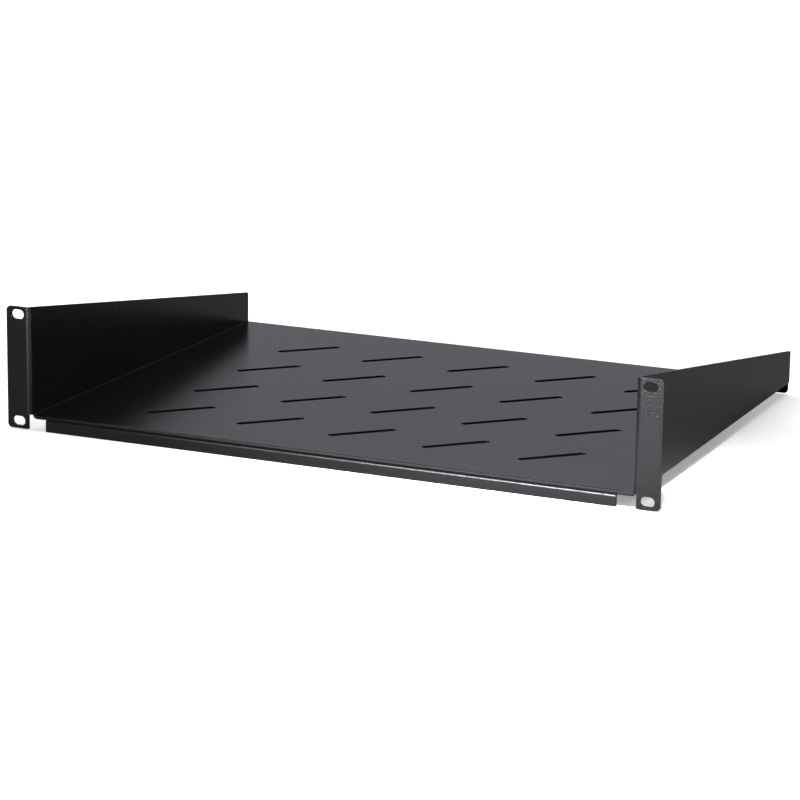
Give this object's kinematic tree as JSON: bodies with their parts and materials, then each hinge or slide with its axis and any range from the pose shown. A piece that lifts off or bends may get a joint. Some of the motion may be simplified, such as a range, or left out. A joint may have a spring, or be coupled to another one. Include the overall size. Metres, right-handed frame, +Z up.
{
  "type": "cantilever rack shelf",
  "caption": "Folded sheet-steel shelf for a 19-inch rack: vented tray between tapering side walls, front ears with oblong bolt holes, down-turned lip and rear flange.",
  "frame": {"origin": "middle of the four bolt holes in the ears, on the ears' rear faces, which seat against the rack's rails", "axes": "+X across the rack to the shelf's right seen from in front, +Y from the ears to the rear, +Z up"},
  "size_m": [0.4826, 0.343, 0.0875],
  "materials": {
    "steel": "fine-textured satin black powder coat"
  },
  "bodies": {
    "root": {"shelf": "steel"}
  },
  "joints": []
}
